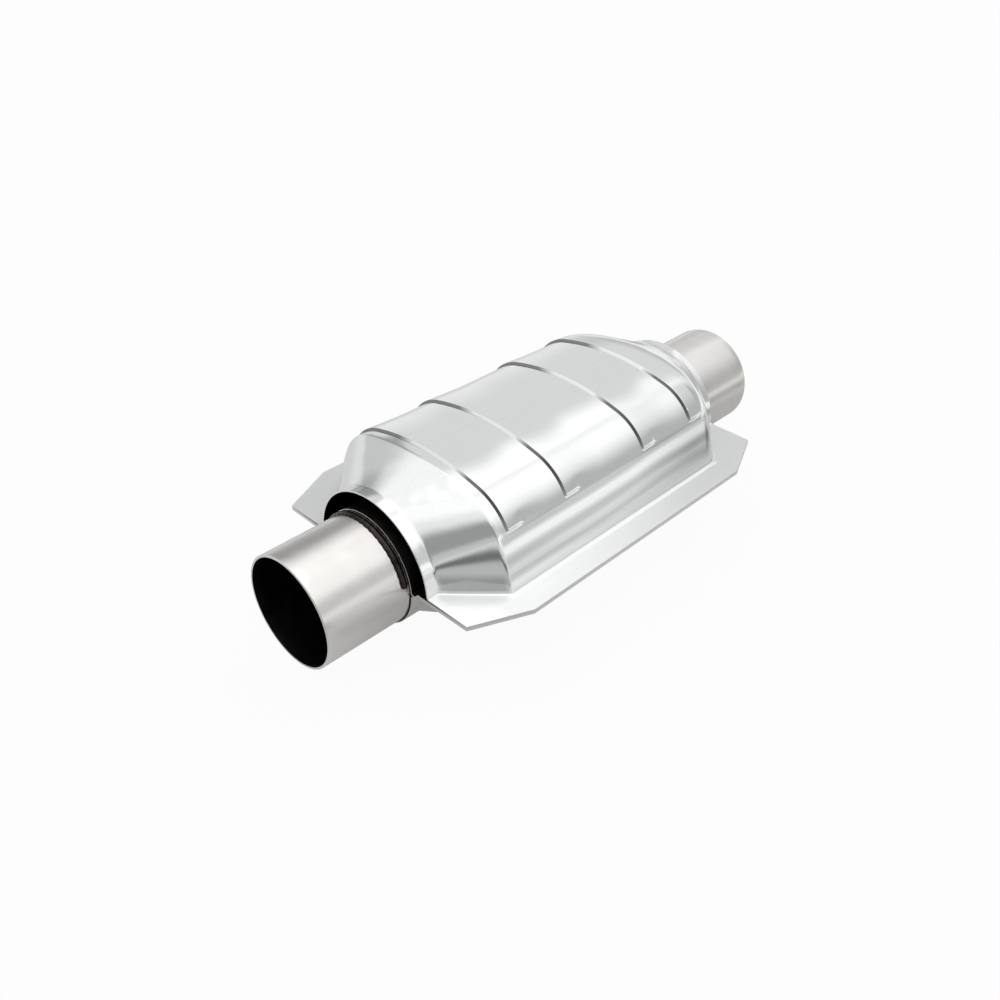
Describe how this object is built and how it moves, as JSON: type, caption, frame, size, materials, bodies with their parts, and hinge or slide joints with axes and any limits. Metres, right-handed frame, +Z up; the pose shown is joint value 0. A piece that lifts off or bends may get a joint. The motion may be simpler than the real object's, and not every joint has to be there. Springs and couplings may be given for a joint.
{
  "type": "catalytic converter",
  "caption": "Oval clamshell catalytic converter with straight neck pipes, wide side flanges and a ribbed bright heat shield over its upper half.",
  "frame": {"origin": "centre of the inlet pipe's mouth, on the exhaust axis", "axes": "+X along the exhaust axis from inlet to outlet, +Y across the can, +Z up towards the heat shield, square to the parting plane of the two can halves"},
  "size_m": [0.33, 0.16, 0.0934],
  "materials": {
    "neck_steel": "satin stainless pipe",
    "shield_steel": "bright polished stainless sheet",
    "can_steel": "satin stainless sheet",
    "weld_steel": "dark weld metal",
    "honeycomb": "matt porous ceramic",
    "fibre_mat": "matt fibre mat",
    "wire_mesh": "knitted steel wire"
  },
  "bodies": {
    "root": {"inlet_pipe": "neck_steel", "outlet_pipe": "neck_steel", "upper_shell": "can_steel", "lower_shell": "can_steel", "heat_shield": "shield_steel", "front_brick": "honeycomb", "rear_brick": "honeycomb", "front_mat": "fibre_mat", "rear_mat": "fibre_mat", "front_brick_inlet_seal": "wire_mesh", "front_brick_outlet_seal": "wire_mesh", "rear_brick_inlet_seal": "wire_mesh", "rear_brick_outlet_seal": "wire_mesh", "inlet_upper_weld": "weld_steel", "inlet_lower_weld": "weld_steel", "outlet_upper_weld": "weld_steel", "outlet_lower_weld": "weld_steel"}
  },
  "joints": []
}
